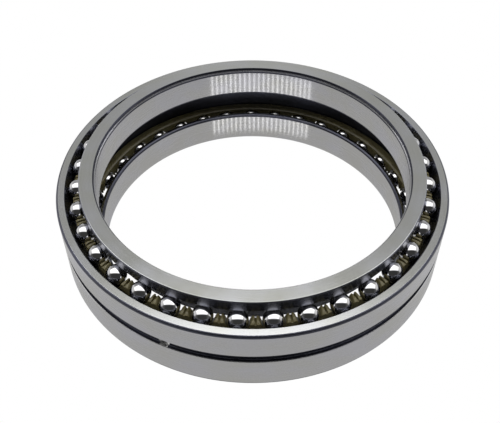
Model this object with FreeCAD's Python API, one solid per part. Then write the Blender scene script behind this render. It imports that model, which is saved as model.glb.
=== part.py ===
import FreeCAD, Part
import math
import os

from FreeCAD import Vector

# Double-row angular contact ball bearing of thin section, taking thrust both ways.
# One outer ring, two inner rings set back to back, two comb cages and two rows of balls.
# Millimetres. The Z axis is the bearing's axis, and z = 0 is the outer ring's middle plane.

# Boundary dimensions.
bore_radius = 110.0
outside_radius = 138.0
outer_half_width = 26.0
inner_face_z = 36.5
inner_back_z = 11.5

# Balls.
ball_diameter = 13.494
balls_per_row = 36
pitch_radius = 123.4
row_z = 22.0
upper_first_ball_angle = 6.0
lower_first_ball_angle = 0.8

# Raceways: arcs a little wider than the ball, touched along a line tilted by the contact angle.
contact_angle = math.radians(45.0)
race_radius = 0.52 * ball_diameter
race_clearance = 0.03
inner_shoulder_radius = 121.0
outer_shoulder_radius = 127.25
inner_relief_angle = math.radians(16.0)
outer_relief_angle = math.radians(19.0)

# Edges of the rings, each given as radial by axial size.
outside_corner = (1.5, 2.0)
bore_front_corner = (1.3, 4.2)
bore_back_corner = (1.6, 2.0)
shoulder_chamfer = 0.6
small_chamfer = 0.3

# Lubrication groove round the outer ring, set above its middle, and its three holes.
groove_z = 2.3
groove_width = 6.2
groove_depth = 2.4
groove_chamfer = 0.35
hole_count = 3
hole_first_angle = 6.5
hole_diameter = 5.0
countersink_diameter = 8.4

# Cage: a solid rim on the side of the middle plane, with a forked web between every two balls.
cage_inner_radius = 120.4
cage_outer_radius = 126.6
cage_rim_z = 12.2
cage_tip_z = 23.6
cage_rim_chamfer = 1.2
cage_edge_chamfer = 0.5
cage_tip_chamfer = (2.0, 1.4)
pocket_clearance = 0.7
mouth_root_z = row_z - 0.8
web_tip_width = 3.8
fork_slot_width = 1.3
fork_slot_depth = 2.2

# Values that follow from the ones above.
ball_radius = ball_diameter / 2.0
pitch_angle = 360.0 / balls_per_row
pocket_radius = ball_radius + pocket_clearance
race_offset = race_radius - ball_radius - race_clearance
axis = Vector(0, 0, 1)
origin = Vector(0, 0, 0)
overshoot = 2.0


def at(radius, height):
    """A point of a ring's half section."""
    return Vector(radius, 0, height)


def on_arc(centre, radius, angle):
    """The point of a circle of the half section at an angle from the outward direction."""
    return at(centre.x + radius * math.cos(angle), centre.z + radius * math.sin(angle))


def corner(start, end, smooth_at_start):
    """A rounded corner between two points, one arc that runs smoothly into the cylinder at one of them."""
    smooth_end = start if smooth_at_start else end
    other_end = end if smooth_at_start else start
    along_axis = abs(end.z - start.z)
    across = abs(end.x - start.x)
    arc_radius = (along_axis ** 2 + across ** 2) / (2.0 * across)
    inward = 1.0 if other_end.x > smooth_end.x else -1.0
    centre = at(smooth_end.x + inward * arc_radius, smooth_end.z)
    half_turn = math.asin(along_axis / arc_radius) / 2.0
    side = 1.0 if other_end.z > smooth_end.z else -1.0
    middle = at(centre.x - inward * arc_radius * math.cos(half_turn),
                centre.z + side * arc_radius * math.sin(half_turn))
    return Part.Arc(start, middle, end).toShape()


def line(start, end):
    return Part.LineSegment(start, end).toShape()


def turned(edges):
    """The solid of revolution of a closed half section."""
    face = Part.Face(Part.Wire(edges))
    return face.revolve(origin, axis, 360)


def turned_over(shape):
    """The same part laid the other way up, for the lower row."""
    copy = shape.copy()
    copy.rotate(origin, Vector(1, 0, 0), 180)
    return copy


def spun(shape, angle):
    copy = shape.copy()
    copy.rotate(origin, axis, angle)
    return copy


def inner_ring():
    """The upper inner ring: thick shoulder outboard, raceway, and a relieved back end."""
    centre = at(pitch_radius + race_offset * math.cos(contact_angle),
                row_z - race_offset * math.sin(contact_angle))
    rise = math.sqrt(race_radius ** 2 - (centre.x - inner_shoulder_radius) ** 2)
    race_edge = at(inner_shoulder_radius, centre.z + rise)
    tangent_angle = math.pi - inner_relief_angle
    edge_angle = math.pi - math.atan2(rise, centre.x - inner_shoulder_radius)
    tangent_point = on_arc(centre, race_radius, tangent_angle)
    race_middle = on_arc(centre, race_radius, (tangent_angle + edge_angle) / 2.0)
    back_radius = tangent_point.x - (tangent_point.z - inner_back_z) * math.tan(inner_relief_angle)

    points = [
        at(bore_radius, inner_back_z + bore_back_corner[1]),
        at(bore_radius, inner_face_z - bore_front_corner[1]),
        at(bore_radius + bore_front_corner[0], inner_face_z),
        at(inner_shoulder_radius - shoulder_chamfer, inner_face_z),
        at(inner_shoulder_radius, inner_face_z - shoulder_chamfer),
        race_edge,
        tangent_point,
        at(back_radius + small_chamfer * math.tan(inner_relief_angle), inner_back_z + small_chamfer),
        at(back_radius - small_chamfer, inner_back_z),
        at(bore_radius + bore_back_corner[0], inner_back_z),
    ]
    edges = [
        line(points[0], points[1]),
        corner(points[1], points[2], True),
        line(points[2], points[3]),
        line(points[3], points[4]),
        line(points[4], points[5]),
        Part.Arc(race_edge, race_middle, tangent_point).toShape(),
        line(points[6], points[7]),
        line(points[7], points[8]),
        line(points[8], points[9]),
        corner(points[9], points[0], False),
    ]
    return turned(edges)


def outer_race(side):
    """Section of one outer raceway, from the middle shoulder out to the face, as points and edges."""
    centre = at(pitch_radius - race_offset * math.cos(contact_angle),
                row_z + race_offset * math.sin(contact_angle))
    drop = math.sqrt(race_radius ** 2 - (outer_shoulder_radius - centre.x) ** 2)
    edge_angle = -math.atan2(drop, outer_shoulder_radius - centre.x)
    race_edge = on_arc(centre, race_radius, edge_angle)
    tangent_point = on_arc(centre, race_radius, -outer_relief_angle)
    race_middle = on_arc(centre, race_radius, (edge_angle - outer_relief_angle) / 2.0)
    relief_height = outer_half_width - small_chamfer - tangent_point.z
    lip_radius = tangent_point.x + relief_height * math.tan(outer_relief_angle)
    points = [
        race_edge,
        race_middle,
        tangent_point,
        at(lip_radius, outer_half_width - small_chamfer),
        at(lip_radius + small_chamfer, outer_half_width),
        at(outside_radius - outside_corner[0], outer_half_width),
        at(outside_radius, outer_half_width - outside_corner[1]),
    ]
    return [at(point.x, side * point.z) for point in points]


def half_section_edges(points):
    return [
        Part.Arc(points[0], points[1], points[2]).toShape(),
        line(points[2], points[3]),
        line(points[3], points[4]),
        line(points[4], points[5]),
        corner(points[5], points[6], False),
    ]


def groove_points():
    """The lubrication groove's section, from its upper edge down to its lower edge."""
    upper = groove_z + groove_width / 2.0
    lower = groove_z - groove_width / 2.0
    floor_radius = outside_radius - groove_depth
    return [
        at(outside_radius, upper + groove_chamfer),
        at(outside_radius - groove_chamfer, upper),
        at(floor_radius, upper),
        at(floor_radius, lower),
        at(outside_radius - groove_chamfer, lower),
        at(outside_radius, lower - groove_chamfer),
    ]


def lubrication_hole():
    """One radial hole from the groove's floor to the space between the rows, with its countersink."""
    outward = Vector(1, 0, 0)
    floor_radius = outside_radius - groove_depth
    start = at(outer_shoulder_radius - overshoot, groove_z)
    bore = Part.makeCylinder(hole_diameter / 2.0, groove_depth + 2.0 * overshoot + floor_radius - start.x,
                             start, outward)
    sink_depth = (countersink_diameter - hole_diameter) / 2.0
    sink = Part.makeCone(hole_diameter / 2.0, countersink_diameter / 2.0, sink_depth,
                         at(floor_radius - sink_depth, groove_z), outward)
    mouth = Part.makeCylinder(countersink_diameter / 2.0, groove_depth - groove_chamfer,
                              at(floor_radius, groove_z), outward)
    return Part.Compound([bore, sink, mouth])


def outer_ring():
    upper = outer_race(1.0)
    lower = outer_race(-1.0)
    groove = groove_points()
    edges = half_section_edges(upper)
    edges.append(line(upper[-1], groove[0]))
    edges += [line(a, b) for a, b in zip(groove, groove[1:])]
    edges.append(line(groove[-1], lower[-1]))
    edges += reversed(half_section_edges(lower))
    edges.append(line(lower[0], upper[0]))
    ring = turned(edges)
    spacing = 360.0 / hole_count
    for number in range(hole_count):
        hole = spun(lubrication_hole(), hole_first_angle + number * spacing)
        for solid in hole.Solids:
            ring = ring.cut(solid)
    return ring


def pocket_cutters():
    """What one ball's pocket takes away: a round radial hole, and the flared mouth above it."""
    outward = Vector(1, 0, 0)
    near = cage_inner_radius - overshoot
    length = cage_outer_radius - near + overshoot
    hole = Part.makeCylinder(pocket_radius, length, at(near, row_z), outward)
    root_half_width = math.sqrt(pocket_radius ** 2 - (row_z - mouth_root_z) ** 2)
    half_spacing = pitch_radius * math.sin(math.radians(pitch_angle / 2.0))
    tip_half_width = half_spacing - web_tip_width / 2.0
    flare = (tip_half_width - root_half_width) / (cage_tip_z - mouth_root_z)
    high = cage_tip_z + overshoot
    high_half_width = tip_half_width + flare * overshoot
    corners = [
        Vector(near, -root_half_width, mouth_root_z),
        Vector(near, -high_half_width, high),
        Vector(near, high_half_width, high),
        Vector(near, root_half_width, mouth_root_z),
    ]
    section = Part.Face(Part.makePolygon(corners + corners[:1]))
    return [hole, section.extrude(outward * length)]


def fork_slot_cutter():
    """The slot that forks a web, with its round bottom."""
    near = cage_inner_radius - overshoot
    length = cage_outer_radius - near + overshoot
    bottom = cage_tip_z - fork_slot_depth + fork_slot_width / 2.0
    box = Part.makeBox(length, fork_slot_width, fork_slot_depth + overshoot,
                       Vector(near, -fork_slot_width / 2.0, bottom))
    bottom_round = Part.makeCylinder(fork_slot_width / 2.0, length, at(near, bottom), Vector(1, 0, 0))
    slot = box.fuse(bottom_round)
    slot.rotate(origin, axis, pitch_angle / 2.0)
    return slot


def cage():
    """The upper cage with a pocket at angle 0."""
    rise, edge = cage_rim_chamfer, cage_edge_chamfer
    points = [
        at(cage_inner_radius + rise, cage_rim_z),
        at(cage_outer_radius - edge, cage_rim_z),
        at(cage_outer_radius, cage_rim_z + edge),
        at(cage_outer_radius, cage_tip_z - cage_tip_chamfer[1]),
        at(cage_outer_radius - cage_tip_chamfer[0], cage_tip_z),
        at(cage_inner_radius + edge, cage_tip_z),
        at(cage_inner_radius, cage_tip_z - edge),
        at(cage_inner_radius, cage_rim_z + rise),
    ]
    blank = turned([line(a, b) for a, b in zip(points, points[1:] + points[:1])])
    tools = pocket_cutters() + [fork_slot_cutter()]
    cutters = []
    for number in range(balls_per_row):
        cutters += [spun(tool, number * pitch_angle) for tool in tools]
    return blank.cut(cutters)


def ball(angle, height):
    turn = math.radians(angle)
    centre = Vector(pitch_radius * math.cos(turn), pitch_radius * math.sin(turn), height)
    return Part.makeSphere(ball_radius, centre)


def write(name, shape):
    shape.exportStep(os.path.join("parts", name + ".step"))
    box = shape.BoundBox
    print(f"{name}: {len(shape.Solids)} solid(s), valid {shape.isValid()}, volume {shape.Volume:.1f},"
          f" z {box.ZMin:.2f} to {box.ZMax:.2f}")


os.makedirs("parts", exist_ok=True)

write("outer_ring", outer_ring())

ring = inner_ring()
write("upper_inner_ring", ring)
write("lower_inner_ring", turned_over(ring))

comb_cage = cage()
write("upper_cage", spun(comb_cage, upper_first_ball_angle))
write("lower_cage", spun(turned_over(comb_cage), lower_first_ball_angle))

for number in range(balls_per_row):
    ball_angle = upper_first_ball_angle + number * pitch_angle
    write(f"upper_ball_{number + 1:02d}", ball(ball_angle, row_z))

lower_angles = [lower_first_ball_angle + number * pitch_angle for number in range(balls_per_row)]
write("lower_ball_row", Part.Compound([ball(angle, -row_z) for angle in lower_angles]))
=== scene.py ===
import math

import bmesh
import bpy
import numpy as np
from mathutils import Matrix, Vector
from mathutils.geometry import delaunay_2d_cdt


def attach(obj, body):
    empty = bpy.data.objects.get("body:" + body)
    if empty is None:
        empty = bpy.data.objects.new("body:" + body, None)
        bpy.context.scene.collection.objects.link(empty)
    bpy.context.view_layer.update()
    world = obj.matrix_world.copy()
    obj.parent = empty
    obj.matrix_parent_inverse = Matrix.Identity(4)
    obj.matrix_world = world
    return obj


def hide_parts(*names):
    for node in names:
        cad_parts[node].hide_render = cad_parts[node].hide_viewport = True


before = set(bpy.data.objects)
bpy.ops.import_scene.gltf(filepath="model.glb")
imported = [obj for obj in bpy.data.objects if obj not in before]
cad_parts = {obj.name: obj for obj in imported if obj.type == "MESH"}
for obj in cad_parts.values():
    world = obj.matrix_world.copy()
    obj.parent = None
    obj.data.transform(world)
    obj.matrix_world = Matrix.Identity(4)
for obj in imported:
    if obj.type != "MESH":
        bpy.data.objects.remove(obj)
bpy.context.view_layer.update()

# Dimensions of the bearing, in millimetres, the same as the CAD part's.
MM = 0.001
BORE_RADIUS = 110.0
OUTSIDE_RADIUS = 138.0
OUTER_HALF_WIDTH = 26.0
INNER_FACE_Z = 36.5
INNER_BACK_Z = 11.5
BALL_RADIUS = 6.747
BALLS_PER_ROW = 36
PITCH_RADIUS = 123.4
ROW_Z = 22.0
UPPER_FIRST_BALL = math.radians(6.0)
LOWER_FIRST_BALL = math.radians(0.8)
CONTACT_ANGLE = math.radians(45.0)
RACE_RADIUS = 0.52 * 2.0 * BALL_RADIUS
RACE_OFFSET = RACE_RADIUS - BALL_RADIUS - 0.03
INNER_SHOULDER_RADIUS = 121.0
OUTER_SHOULDER_RADIUS = 127.25
INNER_RELIEF_ANGLE = math.radians(16.0)
OUTER_RELIEF_ANGLE = math.radians(19.0)
GROOVE_Z = 2.3
GROOVE_HALF_WIDTH = 3.1
GROOVE_RADIUS = 135.6
HOLE_RADIUS = 2.5
SINK_RADIUS = 4.2
HOLE_ANGLES = [math.radians(6.5 + 120.0 * number) for number in range(3)]
CAGE_INNER_RADIUS = 120.4
CAGE_OUTER_RADIUS = 126.6
CAGE_EDGE = 0.4
CAGE_RIM_Z = 12.2
CAGE_TIP_Z = 23.6
POCKET_RADIUS = BALL_RADIUS + 0.7
MOUTH_ROOT_Z = ROW_Z - 0.8
WEB_TIP_HALF_WIDTH = 1.9
FORK_SLOT_HALF_WIDTH = 0.65
FORK_SLOT_BOTTOM_Z = 21.4
HALF_PITCH = math.pi / BALLS_PER_ROW
SEGMENTS = 420

# The radii of the mesh's rows inside the cage, closer together under the slope of the tips.
CAGE_ROW_RADII = (121.6, 122.6, 123.6, 124.4, 125.0, 125.6)

# Rounded corners and edge breaks, as distances across (along the radius) and along (along the axis).
FRONT_CORNER_ACROSS = 1.3
FRONT_CORNER_ALONG = 4.2
BACK_CORNER_ACROSS = 1.6
BACK_CORNER_ALONG = 2.0
SHOULDER_EDGE = 0.6
OUTSIDE_CORNER_ACROSS = 1.5
OUTSIDE_CORNER_ALONG = 2.0
GROOVE_EDGE = 0.35

# A row of thin upright lights in the bore: where it is centred and how far it spreads to each side round
# the axis, and each light's distance from the far wall, width, strength and ends, in millimetres.
ROD_COUNT = 22
ROD_MIDDLE = math.radians(3.6)
ROD_SPREAD = math.radians(21.0)
ROD_GAP = 9.0
ROD_WIDTH = 0.7
ROD_LIGHT = 2.2
ROD_BOTTOM_Z = -INNER_FACE_Z + 1.0
ROD_TOP_Z = INNER_FACE_Z - 9.0

# Finishes of the steel rings, in the order of their material slots.
# RACE carries painted shade and BAND a painted highlight.
LAND, FACE, RACE, DARK, BAND = range(5)


def unit(dr, dz):
    length = math.hypot(dr, dz)
    return dr / length, dz / length


def arc_points(centre, radius, start, end, steps):
    """Points along a circle of the half section, both ends included."""
    points = []
    for number in range(steps + 1):
        angle = start + (end - start) * number / steps
        points.append((centre[0] + radius * math.cos(angle), centre[1] + radius * math.sin(angle)))
    return points


def section(stations):
    """Rounds the corners of a closed half section, and gives every point its outward normal.

    A station is (radius, height, corner radius, finish of the surface that follows).
    """
    points = []
    count = len(stations)
    for number, (radius, height, blend, finish) in enumerate(stations):
        before = stations[number - 1]
        after = stations[(number + 1) % count]
        arriving = unit(radius - before[0], height - before[1])
        leaving = unit(after[0] - radius, after[1] - height)
        first = math.atan2(-arriving[0], arriving[1])
        turn = math.atan2(arriving[0] * leaving[1] - arriving[1] * leaving[0],
                          arriving[0] * leaving[0] + arriving[1] * leaving[1])
        if blend == 0.0:
            middle = first + turn / 2.0
            points.append((radius, height, math.cos(middle), math.sin(middle), finish))
            continue
        side = 1.0 if turn > 0.0 else -1.0
        reach = blend * math.tan(abs(turn) / 2.0)
        start_radius = radius - arriving[0] * reach
        start_height = height - arriving[1] * reach
        centre_radius = start_radius - side * blend * math.cos(first)
        centre_height = start_height - side * blend * math.sin(first)
        steps = 5
        for step in range(steps + 1):
            angle = first + turn * step / steps
            points.append((centre_radius + side * blend * math.cos(angle),
                           centre_height + side * blend * math.sin(angle),
                           math.cos(angle), math.sin(angle), finish))
    return points


def lathe(name, points, turned_over=False):
    """A ring turned from a half section, with exact normals and a finish on each surface."""
    profile = np.array(points)
    count = len(profile)
    angles = np.arange(SEGMENTS) * 2.0 * math.pi / SEGMENTS
    cosines = np.cos(angles)[None, :]
    sines = np.sin(angles)[None, :]
    places = np.stack([profile[:, 0:1] * cosines, profile[:, 0:1] * sines,
                       np.repeat(profile[:, 1:2], SEGMENTS, axis=1)], axis=2) * MM
    normals = np.stack([profile[:, 2:3] * cosines, profile[:, 2:3] * sines,
                        np.repeat(profile[:, 3:4], SEGMENTS, axis=1)], axis=2)
    if turned_over:
        places *= np.array([1.0, -1.0, -1.0])
        normals *= np.array([1.0, -1.0, -1.0])
    faces = []
    finishes = []
    for row in range(count):
        next_row = (row + 1) % count
        for column in range(SEGMENTS):
            next_column = (column + 1) % SEGMENTS
            faces.append((row * SEGMENTS + column, row * SEGMENTS + next_column,
                          next_row * SEGMENTS + next_column, next_row * SEGMENTS + column))
        finishes += [int(points[row][4])] * SEGMENTS
    mesh = bpy.data.meshes.new(name)
    mesh.from_pydata(places.reshape(-1, 3).tolist(), [], faces)
    for coat in ring_finishes:
        mesh.materials.append(coat)
    mesh.polygons.foreach_set("material_index", finishes)
    mesh.polygons.foreach_set("use_smooth", [True] * len(faces))
    mesh.update()
    mesh.normals_split_custom_set_from_vertices(normals.reshape(-1, 3).tolist())
    piece = bpy.data.objects.new(name, mesh)
    bpy.context.scene.collection.objects.link(piece)
    return piece


def inner_ring_section(edge, middle):
    """The upper inner ring's half section, with the finishes of its front corner's edges and middle."""
    centre = (PITCH_RADIUS + RACE_OFFSET * math.cos(CONTACT_ANGLE),
              ROW_Z - RACE_OFFSET * math.sin(CONTACT_ANGLE))
    reach = centre[0] - INNER_SHOULDER_RADIUS
    rise = math.sqrt(RACE_RADIUS ** 2 - reach ** 2)
    race = arc_points(centre, RACE_RADIUS, math.pi - INNER_RELIEF_ANGLE,
                      math.pi - math.atan2(rise, reach), 28)
    back_radius = race[0][0] - (race[0][1] - INNER_BACK_Z) * math.tan(INNER_RELIEF_ANGLE)
    stations = [(BORE_RADIUS + BACK_CORNER_ACROSS, INNER_BACK_Z, 0.2, FACE),
                (back_radius, INNER_BACK_Z, 0.35, RACE)]
    stations += [(radius, height, 0.0, RACE) for radius, height in race[:-1]]
    stations += [(race[-1][0], race[-1][1], 0.12, RACE),
                 (INNER_SHOULDER_RADIUS, INNER_FACE_Z - SHOULDER_EDGE, 0.3, RACE),
                 (INNER_SHOULDER_RADIUS - SHOULDER_EDGE, INNER_FACE_Z, 0.3, FACE),
                 (BORE_RADIUS + FRONT_CORNER_ACROSS, INNER_FACE_Z, 0.25, edge)]
    corner = bore_corner(FRONT_CORNER_ACROSS, FRONT_CORNER_ALONG, INNER_FACE_Z, -1.0)
    for number, (radius, height) in enumerate(corner):
        stations.append((radius, height, 0.0, middle if 3 <= number <= 5 else edge))
    stations += [(BORE_RADIUS, INNER_FACE_Z - FRONT_CORNER_ALONG, 0.0, LAND),
                 (BORE_RADIUS, INNER_BACK_Z + BACK_CORNER_ALONG, 0.0, DARK)]
    back_corner = bore_corner(BACK_CORNER_ACROSS, BACK_CORNER_ALONG, INNER_BACK_Z, 1.0)
    stations += [(radius, height, 0.0, DARK) for radius, height in reversed(back_corner)]
    return section(stations)


def bore_corner(across, along, end_z, side):
    """Inside points of a corner arc of the bore, from the end face to the land, which it meets smoothly."""
    radius = (along ** 2 + across ** 2) / (2.0 * across)
    sweep = math.asin(along / radius)
    points = []
    for number in range(1, 10):
        angle = sweep * (1.0 - number / 10.0)
        points.append((BORE_RADIUS + radius * (1.0 - math.cos(angle)),
                       end_z + side * (along - radius * math.sin(angle))))
    return points


def outer_ring_section():
    centre = (PITCH_RADIUS - RACE_OFFSET * math.cos(CONTACT_ANGLE),
              ROW_Z + RACE_OFFSET * math.sin(CONTACT_ANGLE))
    reach = OUTER_SHOULDER_RADIUS - centre[0]
    drop = math.sqrt(RACE_RADIUS ** 2 - reach ** 2)
    race = arc_points(centre, RACE_RADIUS, -math.atan2(drop, reach), -OUTER_RELIEF_ANGLE, 28)
    rise = OUTER_HALF_WIDTH - race[-1][1]
    lip_radius = race[-1][0] + rise * math.tan(OUTER_RELIEF_ANGLE)
    corner_radius = ((OUTSIDE_CORNER_ALONG ** 2 + OUTSIDE_CORNER_ACROSS ** 2)
                     / (2.0 * OUTSIDE_CORNER_ACROSS))
    sweep = math.asin(OUTSIDE_CORNER_ALONG / corner_radius)
    corner = []
    for step in range(1, 8):
        angle = sweep * step / 8.0
        corner.append((OUTSIDE_RADIUS - corner_radius * (1.0 - math.cos(angle)),
                       OUTER_HALF_WIDTH - OUTSIDE_CORNER_ALONG + corner_radius * math.sin(angle)))
    upper = [(race[0][0], race[0][1], 0.12, RACE)]
    upper += [(radius, height, 0.0, RACE) for radius, height in race[1:]]
    upper += [(lip_radius, OUTER_HALF_WIDTH, 0.3, FACE),
              (OUTSIDE_RADIUS - OUTSIDE_CORNER_ACROSS, OUTER_HALF_WIDTH, 0.2, DARK)]
    upper += [(radius, height, 0.0, DARK) for radius, height in reversed(corner)]
    upper += [(OUTSIDE_RADIUS, OUTER_HALF_WIDTH - OUTSIDE_CORNER_ALONG, 0.0, LAND)]
    groove = [(OUTSIDE_RADIUS, GROOVE_Z + GROOVE_HALF_WIDTH + GROOVE_EDGE, 0.1, LAND),
              (OUTSIDE_RADIUS - GROOVE_EDGE, GROOVE_Z + GROOVE_HALF_WIDTH, 0.1, DARK),
              (GROOVE_RADIUS, GROOVE_Z + GROOVE_HALF_WIDTH, 0.5, DARK),
              (GROOVE_RADIUS, GROOVE_Z - GROOVE_HALF_WIDTH, 0.5, DARK),
              (OUTSIDE_RADIUS - GROOVE_EDGE, GROOVE_Z - GROOVE_HALF_WIDTH, 0.1, LAND),
              (OUTSIDE_RADIUS, GROOVE_Z - GROOVE_HALF_WIDTH - GROOVE_EDGE, 0.1, LAND)]
    lower = []
    for number in range(len(upper) - 1, -1, -1):
        radius, height, blend = upper[number][:3]
        following = upper[number - 1][3] if number else DARK
        lower.append((radius, -height, blend, following))
    clockwise = upper + groove + lower
    anticlockwise = []
    for number in range(len(clockwise) - 1, -1, -1):
        radius, height, blend = clockwise[number][:3]
        anticlockwise.append((radius, height, blend, clockwise[number - 1][3]))
    return section(anticlockwise)


def straight_normal(face_normal, place):
    """The outward normal of a straight stretch of the section, at a place round the axis.

    It is None for the other faces.
    """
    centre_angle = math.atan2(place[1], place[0])
    outward = face_normal[0] * math.cos(centre_angle) + face_normal[1] * math.sin(centre_angle)
    along = face_normal[1] * math.cos(centre_angle) - face_normal[0] * math.sin(centre_angle)
    if abs(along) > 0.02:
        return None
    return outward, face_normal[2]


def cutter(name, sections, angle):
    """A closed radial tool of circles, each given as distance from the axis and radius."""
    sides = 48
    mesh_maker = bmesh.new()
    rings = []
    for distance, radius in sections:
        ring = []
        for side in range(sides):
            turn = 2.0 * math.pi * side / sides
            across = radius * math.cos(turn) * MM
            height = (GROOVE_Z + radius * math.sin(turn)) * MM
            ring.append(mesh_maker.verts.new((distance * MM, across, height)))
        rings.append(ring)
    for lower_ring, upper_ring in zip(rings, rings[1:]):
        for side in range(sides):
            following = (side + 1) % sides
            mesh_maker.faces.new((lower_ring[side], lower_ring[following],
                                  upper_ring[following], upper_ring[side]))
    mesh_maker.faces.new(list(reversed(rings[0])))
    mesh_maker.faces.new(rings[-1])
    bmesh.ops.recalc_face_normals(mesh_maker, faces=mesh_maker.faces)
    bmesh.ops.rotate(mesh_maker, verts=mesh_maker.verts, matrix=Matrix.Rotation(angle, 3, "Z"))
    mesh = bpy.data.meshes.new(name)
    mesh_maker.to_mesh(mesh)
    mesh_maker.free()
    tool = bpy.data.objects.new(name, mesh)
    bpy.context.scene.collection.objects.link(tool)
    return tool


def drill_lubrication_holes(ring, points):
    """Cuts the countersunk radial holes into the turned ring and gives it back its exact normals."""
    tools = []
    sink_depth = SINK_RADIUS - HOLE_RADIUS
    for number, angle in enumerate(HOLE_ANGLES):
        tools.append(cutter(f"hole_tool_{number}", [
            (OUTER_SHOULDER_RADIUS - 2.0, HOLE_RADIUS), (GROOVE_RADIUS - sink_depth, HOLE_RADIUS),
            (GROOVE_RADIUS, SINK_RADIUS), (OUTSIDE_RADIUS - GROOVE_EDGE, SINK_RADIUS)], angle))
    for tool in tools:
        cut = ring.modifiers.new("hole", "BOOLEAN")
        cut.operation = "DIFFERENCE"
        cut.solver = "EXACT"
        cut.object = tool
    graph = bpy.context.evaluated_depsgraph_get()
    mesh = bpy.data.meshes.new_from_object(ring.evaluated_get(graph))
    ring.modifiers.clear()
    ring.data = mesh
    for tool in tools:
        bpy.data.objects.remove(tool)
    known = {(round(radius, 3), round(height, 3)): (across, along)
             for radius, height, across, along, finish in points}
    normals = []
    for face in mesh.polygons:
        face.use_smooth = True
        straight = straight_normal(face.normal, face.center)
        for index in face.vertices:
            place = mesh.vertices[index].co
            radius = math.hypot(place.x, place.y)
            if straight is None:
                normals.append(tuple(face.normal))
                continue
            across, along = known.get((round(radius / MM, 3), round(place.z / MM, 3)), straight)
            normals.append((across * place.x / radius, across * place.y / radius, along))
    mesh.normals_split_custom_set(normals)


def cage_outline(radius, inset):
    """One cell of the cage's outline at a distance from the axis: from web middle to web middle, as
    (angle from the pocket's middle, height)."""
    pocket = POCKET_RADIUS + inset
    root = MOUTH_ROOT_Z - ROW_Z
    tip = CAGE_TIP_Z - inset
    mouth = PITCH_RADIUS * math.sin(HALF_PITCH) - WEB_TIP_HALF_WIDTH
    root_half_width = math.sqrt(POCKET_RADIUS ** 2 - root ** 2)
    flare = (mouth - root_half_width) / (CAGE_TIP_Z - MOUTH_ROOT_Z)
    shift = inset * math.hypot(1.0, flare)
    root_angle = math.atan2(root, root_half_width)
    corners = []
    for number in range(23):
        angle = -math.pi / 2.0 + (root_angle + math.pi / 2.0) * number / 22.0
        corners.append((pocket * math.cos(angle), ROW_Z + pocket * math.sin(angle)))
    flank = []
    for number in range(1, 9):
        height = MOUTH_ROOT_Z + (tip - MOUTH_ROOT_Z) * number / 8.0
        flank.append((root_half_width + shift + flare * (height - MOUTH_ROOT_Z), height))
    pocket_side = rounded(corners[:-1], corners[-1], flank, 0.35)
    slot_half = FORK_SLOT_HALF_WIDTH + inset
    middle = FORK_SLOT_BOTTOM_Z + FORK_SLOT_HALF_WIDTH
    slot = [(slot_half, tip)]
    for number in range(5):
        slot.append((slot_half, tip - (tip - middle) * (number + 1) / 5.0))
    for number in range(1, 9):
        angle = math.pi / 2.0 * number / 8.0
        slot.append((slot_half * math.cos(angle), middle - slot_half * math.sin(angle)))
    half = [(math.asin(across / radius), height) for across, height in pocket_side]
    other = [(HALF_PITCH - math.asin(across / radius), height) for across, height in slot]
    half = soften(half + other, radius)
    limit = CAGE_TIP_Z + 0.7 * (CAGE_OUTER_RADIUS - 2.0 - radius)
    half = [(angle, soft_least(height, limit, 0.22)) for angle, height in half]
    left = [(-angle, height) for angle, height in reversed(half[1:])]
    return left + half


def rounded(before, corner, after, blend):
    """A chain of points with the corner between two stretches turned into a small curve."""
    first = np.array(before[-1])
    last = np.array(after[0])
    middle = np.array(corner)
    start = middle + (first - middle) * min(1.0, blend / np.linalg.norm(first - middle))
    end = middle + (last - middle) * min(1.0, blend / np.linalg.norm(last - middle))
    curve = []
    for share in (0.0, 0.25, 0.5, 0.75, 1.0):
        point = (1 - share) ** 2 * start + 2 * share * (1 - share) * middle + share ** 2 * end
        curve.append((float(point[0]), float(point[1])))
    return before[:-1] + curve + after[1:]


def soften(chain, radius):
    """Rounds what corners are left in an outline, keeping its two ends."""
    points = np.array([(angle * radius, height) for angle, height in chain])
    for repeat in range(2):
        smoothed = points.copy()
        smoothed[1:-1] = 0.25 * points[:-2] + 0.5 * points[1:-1] + 0.25 * points[2:]
        points = smoothed
    return [(float(across) / radius, float(height)) for across, height in points]


def soft_least(value, limit, width):
    """The lesser of two heights, with a rounded passage between them."""
    difference = (limit - value) / width
    if difference > 30.0:
        return value
    return value - width * math.log1p(math.exp(-difference)) if difference > -30.0 else limit


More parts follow.
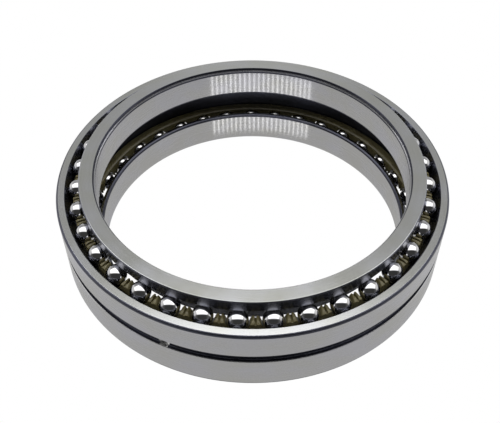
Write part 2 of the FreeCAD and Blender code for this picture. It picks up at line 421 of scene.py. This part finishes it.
def cage(name, first_pocket, turned_over=False):
    """A moulded comb cage: cells of pocket and forked webs, repeated round the axis, with rounded edges."""
    levels = []
    for number in range(4):
        turn = math.pi / 2.0 * number / 3.0
        levels.append((CAGE_INNER_RADIUS + CAGE_EDGE * (1.0 - math.cos(turn)),
                       CAGE_EDGE * (1.0 - math.sin(turn))))
    levels += [(radius, 0.0) for radius in CAGE_ROW_RADII]
    for number in range(3, -1, -1):
        turn = math.pi / 2.0 * number / 3.0
        levels.append((CAGE_OUTER_RADIUS - CAGE_EDGE * (1.0 - math.cos(turn)),
                       CAGE_EDGE * (1.0 - math.sin(turn))))
    floor_steps = 20
    verts = []
    faces = []
    outlines = []
    for radius, inset in levels:
        outline = cage_outline(radius, inset)
        rim = CAGE_RIM_Z + inset
        rim = -soft_least(-rim, -(CAGE_RIM_Z + CAGE_INNER_RADIUS + 1.2 - radius), 0.2)
        bottom = [(HALF_PITCH - 2.0 * HALF_PITCH * step / floor_steps, rim)
                  for step in range(floor_steps + 1)]
        outlines.append(outline + bottom)
    count = len(outlines[0])
    top_count = count - floor_steps - 1
    for (radius, inset), outline in zip(levels, outlines):
        verts += [(radius, angle, height) for angle, height in outline]
    for level in range(len(levels) - 1):
        here = level * count
        there = here + count
        for number in list(range(top_count - 1)) + list(range(top_count, count - 1)):
            faces.append((here + number, here + number + 1, there + number + 1, there + number))
    for level in (0, len(levels) - 1):
        radius = levels[level][0]
        flat = [Vector((angle * PITCH_RADIUS, height)) for angle, height in outlines[level]]
        loop = list(range(count))
        inside = []
        rim = outlines[level][-1][1]
        for step in range(1, floor_steps):
            across = -HALF_PITCH + 2.0 * HALF_PITCH * step / floor_steps
            for height in (rim + 0.9, CAGE_TIP_Z - 6.0, CAGE_TIP_Z - 4.0):
                inside.append(Vector((across * PITCH_RADIUS, height)))
        result = delaunay_2d_cdt(flat + inside, [], [loop], 1, 1e-6)
        start = len(verts)
        verts += [(radius, point.x / PITCH_RADIUS, point.y) for point in result[0]]
        faces += [tuple(start + index for index in face) for face in result[2]]
    places = np.array(verts)
    mesh_maker = bmesh.new()
    for cell in range(BALLS_PER_ROW):
        turn = places[:, 1] + first_pocket + 2.0 * HALF_PITCH * cell
        if turned_over:
            turn = -(places[:, 1] + 2.0 * HALF_PITCH * cell) + first_pocket
        heights = -places[:, 2] if turned_over else places[:, 2]
        cell_verts = []
        for radius, angle, height in zip(places[:, 0], turn, heights):
            place = (radius * math.cos(angle) * MM, radius * math.sin(angle) * MM, height * MM)
            cell_verts.append(mesh_maker.verts.new(place))
        for face in faces:
            mesh_maker.faces.new([cell_verts[index] for index in face])
    bmesh.ops.remove_doubles(mesh_maker, verts=mesh_maker.verts, dist=2e-6)
    bmesh.ops.recalc_face_normals(mesh_maker, faces=mesh_maker.faces)
    mesh = bpy.data.meshes.new(name)
    mesh_maker.to_mesh(mesh)
    mesh_maker.free()
    mesh.polygons.foreach_set("use_smooth", [True] * len(mesh.polygons))
    mesh.set_sharp_from_angle(angle=math.radians(48.0))
    piece = bpy.data.objects.new(name, mesh)
    bpy.context.scene.collection.objects.link(piece)
    weighted = piece.modifiers.new("weighted_normals", "WEIGHTED_NORMAL")
    weighted.keep_sharp = True
    return piece


class Nodes:
    """A short way to wire a material's or the world's shader nodes."""

    def __init__(self, tree):
        self.tree = tree
        tree.nodes.clear()

    def make(self, kind, inputs=None, **settings):
        node = self.tree.nodes.new(kind)
        for setting, value in settings.items():
            setattr(node, setting, value)
        for socket, value in (inputs or {}).items():
            self.feed(node, socket, value)
        return node

    def feed(self, node, socket, value):
        target = node.inputs[socket]
        if isinstance(value, bpy.types.NodeSocket):
            self.tree.links.new(value, target)
        else:
            target.default_value = value

    def math(self, operation, *values):
        node = self.make("ShaderNodeMath", operation=operation)
        for number, value in enumerate(values):
            self.feed(node, number, value)
        return node.outputs[0]

    def spread(self, value, low, high, to_low=0.0, to_high=1.0, smooth=False):
        node = self.make("ShaderNodeMapRange", {0: value, 1: low, 2: high, 3: to_low, 4: to_high})
        node.interpolation_type = "SMOOTHSTEP" if smooth else "LINEAR"
        return node.outputs[0]

    def blend(self, share, first, second, mode="MIX"):
        node = self.make("ShaderNodeMix", data_type="RGBA", blend_type=mode)
        self.feed(node, 0, share)
        self.feed(node, 6, first)
        self.feed(node, 7, second)
        return node.outputs[2]


def material(name):
    made = bpy.data.materials.new(name)
    made.use_nodes = True
    return made, Nodes(made.node_tree)


def finish(nodes, shader):
    nodes.make("ShaderNodeOutputMaterial", {"Surface": shader.outputs[0]})


def round_the_axis(nodes, turns, across, along):
    """Coordinates that draw marks out round the bearing's axis.

    They are a direction with the height in it, and the distance from the axis.
    """
    place = nodes.make("ShaderNodeTexCoord").outputs["Object"]
    parts = nodes.make("ShaderNodeSeparateXYZ", {0: place})
    x, y, z = parts.outputs
    flat = nodes.make("ShaderNodeCombineXYZ", {0: x, 1: y, 2: 0.0}).outputs[0]
    radius = nodes.make("ShaderNodeVectorMath", {0: flat}, operation="LENGTH").outputs["Value"]
    around = nodes.make("ShaderNodeVectorMath", {0: flat}, operation="NORMALIZE").outputs[0]
    around = nodes.make("ShaderNodeSeparateXYZ", {0: around})
    vector = nodes.make("ShaderNodeCombineXYZ", {
        0: nodes.math("MULTIPLY", around.outputs[0], turns),
        1: nodes.math("MULTIPLY", around.outputs[1], turns),
        2: nodes.math("MULTIPLY", z, along)}).outputs[0]
    return vector, nodes.math("MULTIPLY", radius, across)


def steel(name, color, roughness, grain, anisotropy, marks=0.05, bump=0.06, worn=0.0):
    """Machined steel: fine circular tool marks, faint clouds of oil, and a slight change of tone."""
    made, nodes = material(name)
    fine_place, fine_radius = round_the_axis(nodes, 2.5, grain, grain)
    fine = nodes.make("ShaderNodeTexNoise",
                      {"Vector": fine_place, "W": fine_radius, "Scale": 1.0,
                       "Detail": 3.0, "Roughness": 0.65},
                      noise_dimensions="4D").outputs[0]
    broad_place, broad_radius = round_the_axis(nodes, 5.0, 60.0, 60.0)
    broad = nodes.make("ShaderNodeTexNoise",
                       {"Vector": broad_place, "W": broad_radius, "Scale": 1.0,
                        "Detail": 2.0, "Roughness": 0.5},
                       noise_dimensions="4D").outputs[0]
    speck = nodes.make("ShaderNodeTexNoise", {"Vector": nodes.make("ShaderNodeTexCoord").outputs["Object"],
                                              "Scale": 900.0, "Detail": 2.0, "Roughness": 0.6}).outputs[0]
    tone = nodes.spread(fine, 0.3, 0.7, 1.0 - marks, 1.0 + marks)
    tone = nodes.math("MULTIPLY", tone, nodes.spread(broad, 0.3, 0.7, 0.97, 1.03))
    tone = nodes.math("MULTIPLY", tone, nodes.spread(speck, 0.3, 0.7, 0.985, 1.015))
    warm = tuple(value * scale for value, scale in zip(color, (1.0, 1.0, 0.96))) + (1.0,)
    cool = tuple(value * scale for value, scale in zip(color, (0.985, 0.99, 1.03))) + (1.0,)
    shade = nodes.blend(nodes.spread(broad, 0.35, 0.65), warm, cool)
    grey = nodes.make("ShaderNodeCombineColor", {0: tone, 1: tone, 2: tone}).outputs[0]
    shade = nodes.blend(1.0, shade, grey, "MULTIPLY")
    rough = nodes.spread(fine, 0.25, 0.75, roughness * 0.9, roughness * 1.1)
    rough = nodes.math("ADD", rough, nodes.spread(broad, 0.3, 0.7, -0.02, 0.02))
    if worn:
        edge = nodes.spread(speck, 0.62, 0.75)
        shade = nodes.blend(nodes.math("MULTIPLY", edge, worn), shade, (0.35, 0.35, 0.36, 1.0))
    height = nodes.make("ShaderNodeBump", {"Strength": bump, "Distance": 0.00002, "Height": fine}).outputs[0]
    shader = nodes.make("ShaderNodeBsdfPrincipled", {
        "Base Color": shade, "Roughness": rough, "Normal": height, "Metallic": 1.0})
    if anisotropy:
        shader.inputs["Anisotropic"].default_value = anisotropy
        shader.inputs["Anisotropic Rotation"].default_value = 0.25
        tangent = nodes.make("ShaderNodeTangent", direction_type="RADIAL", axis="Z").outputs[0]
        nodes.feed(shader, "Tangent", tangent)
    finish(nodes, shader)
    return made


def polished_ball():
    """Lapped chrome steel with hair-fine marks in every direction and a thin uneven film of oil."""
    made, nodes = material("polished_ball")
    place = nodes.make("ShaderNodeTexCoord").outputs["Object"]
    film = nodes.make("ShaderNodeTexNoise", {"Vector": place, "Scale": 260.0, "Detail": 3.0}).outputs[0]
    hair = nodes.make("ShaderNodeTexNoise", {"Vector": place, "Scale": 2400.0, "Detail": 2.0,
                                             "Distortion": 1.5}).outputs[0]
    shade = nodes.blend(nodes.spread(film, 0.35, 0.65), (0.60, 0.60, 0.62, 1.0), (0.66, 0.65, 0.64, 1.0))
    rough = nodes.math("ADD", nodes.spread(film, 0.3, 0.7, 0.03, 0.07),
                       nodes.spread(hair, 0.55, 0.75, 0.0, 0.03))
    height = nodes.make("ShaderNodeBump", {"Strength": 0.02, "Distance": 0.00001, "Height": hair}).outputs[0]
    shader = nodes.make("ShaderNodeBsdfPrincipled", {
        "Base Color": shade, "Roughness": rough, "Normal": height, "Metallic": 1.0})
    finish(nodes, shader)
    return made


def moulded_polyamide():
    """Olive-brown glass-filled nylon: short pale fibres near the skin, flow clouds and a soft, oily gloss."""
    made, nodes = material("moulded_polyamide")
    place = nodes.make("ShaderNodeTexCoord").outputs["Object"]
    clouds = nodes.make("ShaderNodeTexNoise", {"Vector": place, "Scale": 190.0, "Detail": 4.0,
                                               "Distortion": 0.6}).outputs[0]
    stretched = nodes.make("ShaderNodeMapping", {"Vector": place, "Scale": (1.0, 1.0, 0.35)}).outputs[0]
    fibres = nodes.make("ShaderNodeTexNoise", {"Vector": stretched, "Scale": 1500.0, "Detail": 2.0,
                                               "Roughness": 0.7}).outputs[0]
    shade = nodes.blend(nodes.spread(clouds, 0.3, 0.7),
                        (0.105, 0.088, 0.036, 1.0), (0.165, 0.145, 0.068, 1.0))
    shade = nodes.blend(nodes.spread(fibres, 0.58, 0.75, 0.0, 0.55), shade, (0.27, 0.245, 0.13, 1.0))
    rough = nodes.spread(clouds, 0.3, 0.7, 0.34, 0.48)
    height = nodes.make("ShaderNodeBump",
                        {"Strength": 0.25, "Distance": 0.00004, "Height": fibres}).outputs[0]
    shader = nodes.make("ShaderNodeBsdfPrincipled",
                        {"Base Color": shade, "Roughness": rough, "Normal": height})
    finish(nodes, shader)
    return made


def light_rods(eye):
    """A row of thin upright lights close to the bore's far wall, which only its reflections see.

    Each stands where the wall, at its own place round the axis, mirrors it towards the eye.
    """
    verts = []
    faces = []
    for number in range(ROD_COUNT):
        turn = ROD_MIDDLE + ROD_SPREAD * (2.0 * number / (ROD_COUNT - 1) - 1.0)
        inward = Vector((-math.sin(turn), -math.cos(turn), 0.0))
        on_wall = Vector((-inward.x, -inward.y, 0.0)) * BORE_RADIUS * MM
        sight = (on_wall - eye).normalized()
        bounce = sight.reflect(inward)
        level = Vector((bounce.x, bounce.y, 0.0)).normalized()
        foot = on_wall + level * ROD_GAP * MM
        half = Vector((-level.y, level.x, 0.0)) * ROD_WIDTH * MM / 2.0
        start = len(verts)
        for side, height in ((-1, ROD_BOTTOM_Z), (1, ROD_BOTTOM_Z), (1, ROD_TOP_Z), (-1, ROD_TOP_Z)):
            verts.append((foot.x + side * half.x, foot.y + side * half.y, height * MM))
        faces.append((start, start + 1, start + 2, start + 3))
    mesh = bpy.data.meshes.new("light_rods")
    mesh.from_pydata(verts, [], faces)
    rods = bpy.data.objects.new("light_rods", mesh)
    bpy.context.scene.collection.objects.link(rods)
    lit, nodes = material("rod_light")
    finish(nodes, nodes.make("ShaderNodeEmission", {"Color": (1.0, 1.0, 1.0, 1.0), "Strength": ROD_LIGHT}))
    mesh.materials.append(lit)
    rods.visible_camera = False
    rods.visible_diffuse = False
    rods.visible_transmission = False
    rods.visible_shadow = False


ring_finishes = [
    steel("ground_land", (0.60, 0.595, 0.60), 0.27, 9000.0, 0.75),
    steel("ground_face", (0.60, 0.605, 0.59), 0.15, 5000.0, 0.3),
    # Races, reliefs and shoulders: honed steel given a dark colour, which is painted shade.
    steel("honed_race_painted_dark", (0.17, 0.175, 0.205), 0.24, 12000.0, 0.8, marks=0.03, bump=0.02),
    steel("hardened_dark", (0.075, 0.077, 0.098), 0.34, 2500.0, 0.3, marks=0.15, bump=0.12, worn=0.05),
    # A bright band for the middle of the upper inner ring's dark bore corner: a painted highlight strip.
    steel("painted_highlight_band", (0.55, 0.55, 0.58), 0.20, 4000.0, 0.5),
]
ball_finish = polished_ball()
cage_finish = moulded_polyamide()

outer_points = outer_ring_section()

# The upper inner ring's front bore corner has dark edges and a painted highlight band in its middle. The
# lower ring's same corner is plain ground.
upper_inner = lathe("upper_inner_ring_ground", inner_ring_section(DARK, BAND))
lower_inner = lathe("lower_inner_ring_ground", inner_ring_section(LAND, LAND), turned_over=True)
outer = lathe("outer_ring_ground", outer_points)
drill_lubrication_holes(outer, outer_points)
for ring, node in ((upper_inner, "upper_inner_ring"), (lower_inner, "lower_inner_ring"),
                   (outer, "outer_ring")):
    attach(ring, node)
    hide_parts(node)

for node, first_pocket, turned_over in (("upper_cage", UPPER_FIRST_BALL, False),
                                        ("lower_cage", LOWER_FIRST_BALL, True)):
    comb_cage = cage(node + "_moulded", first_pocket, turned_over)
    comb_cage.data.materials.append(cage_finish)
    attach(comb_cage, node)
    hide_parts(node)

for name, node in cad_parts.items():
    if "ball" in name:
        for slot in node.material_slots:
            slot.material = ball_finish

# The studio: a white table, a large soft light overhead and behind, pale walls at the sides and a dark room
# in front. What the camera sees past the bearing is plain white.
world = bpy.data.worlds.new("studio")
world.use_nodes = True
bpy.context.scene.world = world
nodes = Nodes(world.node_tree)
direction = nodes.make("ShaderNodeSeparateXYZ", {0: nodes.make("ShaderNodeTexCoord").outputs["Generated"]})
right, back, up = direction.outputs
elevation = nodes.math("MULTIPLY", nodes.math("ARCTAN2", up, back), 180.0 / math.pi)
softbox = nodes.math("MULTIPLY", nodes.spread(elevation, 54.6, 56.4, smooth=True),
                     nodes.spread(elevation, 104.0, 122.0, 1.0, 0.0, smooth=True))
aside = nodes.math("ABSOLUTE", right)
softbox = nodes.math("MULTIPLY", softbox, nodes.spread(aside, 0.78, 0.90, 1.0, 0.0, smooth=True))
behind = nodes.spread(back, -0.25, 0.25, 0.05, 0.42, smooth=True)
middle = nodes.math("MULTIPLY", nodes.spread(aside, 0.05, 0.17, 0.12, 0.0, smooth=True),
                    nodes.spread(back, 0.3, 0.6, smooth=True))
behind = nodes.math("ADD", behind, middle)
sides = nodes.math("MULTIPLY", nodes.spread(aside, 0.50, 0.85, 0.0, 0.85, smooth=True),
                   nodes.spread(up, 0.75, 0.95, 1.0, 0.2, smooth=True))
sides = nodes.math("MULTIPLY", sides, nodes.spread(back, -0.35, 0.0, 0.12, 1.0, smooth=True))
light = nodes.math("MAXIMUM", behind, sides)
light = nodes.math("MAXIMUM", light, nodes.math("MULTIPLY", softbox, 2.2))
seen = nodes.make("ShaderNodeLightPath").outputs["Is Camera Ray"]
glow = nodes.make("ShaderNodeBackground", {"Color": (1.0, 1.0, 1.0, 1.0), "Strength": light})
white = nodes.make("ShaderNodeBackground", {"Color": (1.0, 1.0, 1.0, 1.0), "Strength": 1.0})
chosen = nodes.make("ShaderNodeMixShader", {0: seen, 1: glow.outputs[0], 2: white.outputs[0]})
nodes.make("ShaderNodeOutputWorld", {"Surface": chosen.outputs[0]})

floor_mesh = bpy.data.meshes.new("table_top")
reach = 4.0
table_z = -INNER_FACE_Z * MM
floor_mesh.from_pydata([(-reach, -reach, table_z), (reach, -reach, table_z), (reach, reach, table_z),
                        (-reach, reach, table_z)], [], [(0, 1, 2, 3)])
floor = bpy.data.objects.new("table_top", floor_mesh)
bpy.context.scene.collection.objects.link(floor)
# The table glows rather than being lit: plain white to the camera, and to reflections a painted pool of
# light, dimmer in front and brighter behind and to the sides.
table_finish, nodes = material("white_table")
place = nodes.make("ShaderNodeSeparateXYZ", {0: nodes.make("ShaderNodeTexCoord").outputs["Object"]})
lit = nodes.spread(place.outputs[1], 0.10, 0.50, 0.52, 0.75, smooth=True)
off_side = nodes.spread(nodes.math("ABSOLUTE", place.outputs[0]), 0.14, 0.30, 0.0, 0.60, smooth=True)
lit = nodes.math("ADD", lit, off_side)
glow = nodes.make("ShaderNodeEmission", {"Color": (1.0, 1.0, 1.0, 1.0), "Strength": lit})
white = nodes.make("ShaderNodeEmission", {"Color": (1.0, 1.0, 1.0, 1.0), "Strength": 1.0})
seen = nodes.make("ShaderNodeLightPath").outputs["Is Camera Ray"]
chosen = nodes.make("ShaderNodeMixShader", {0: seen, 1: glow.outputs[0], 2: white.outputs[0]})
finish(nodes, chosen)
floor_mesh.materials.append(table_finish)

# The camera stands in front and looks down on the ring.
camera_data = bpy.data.cameras.new("camera")
camera_data.lens = 53.536
camera_data.sensor_width = 36.0
camera_data.shift_y = -0.05
camera = bpy.data.objects.new("camera", camera_data)
bpy.context.scene.collection.objects.link(camera)
camera.location = (0.0, -0.38169, 0.39294)
camera.rotation_euler = (math.radians(90.0 - 44.922), 0.0, math.radians(0.266))
bpy.context.scene.camera = camera
bpy.context.scene.view_settings.view_transform = "Standard"

light_rods(camera.location)
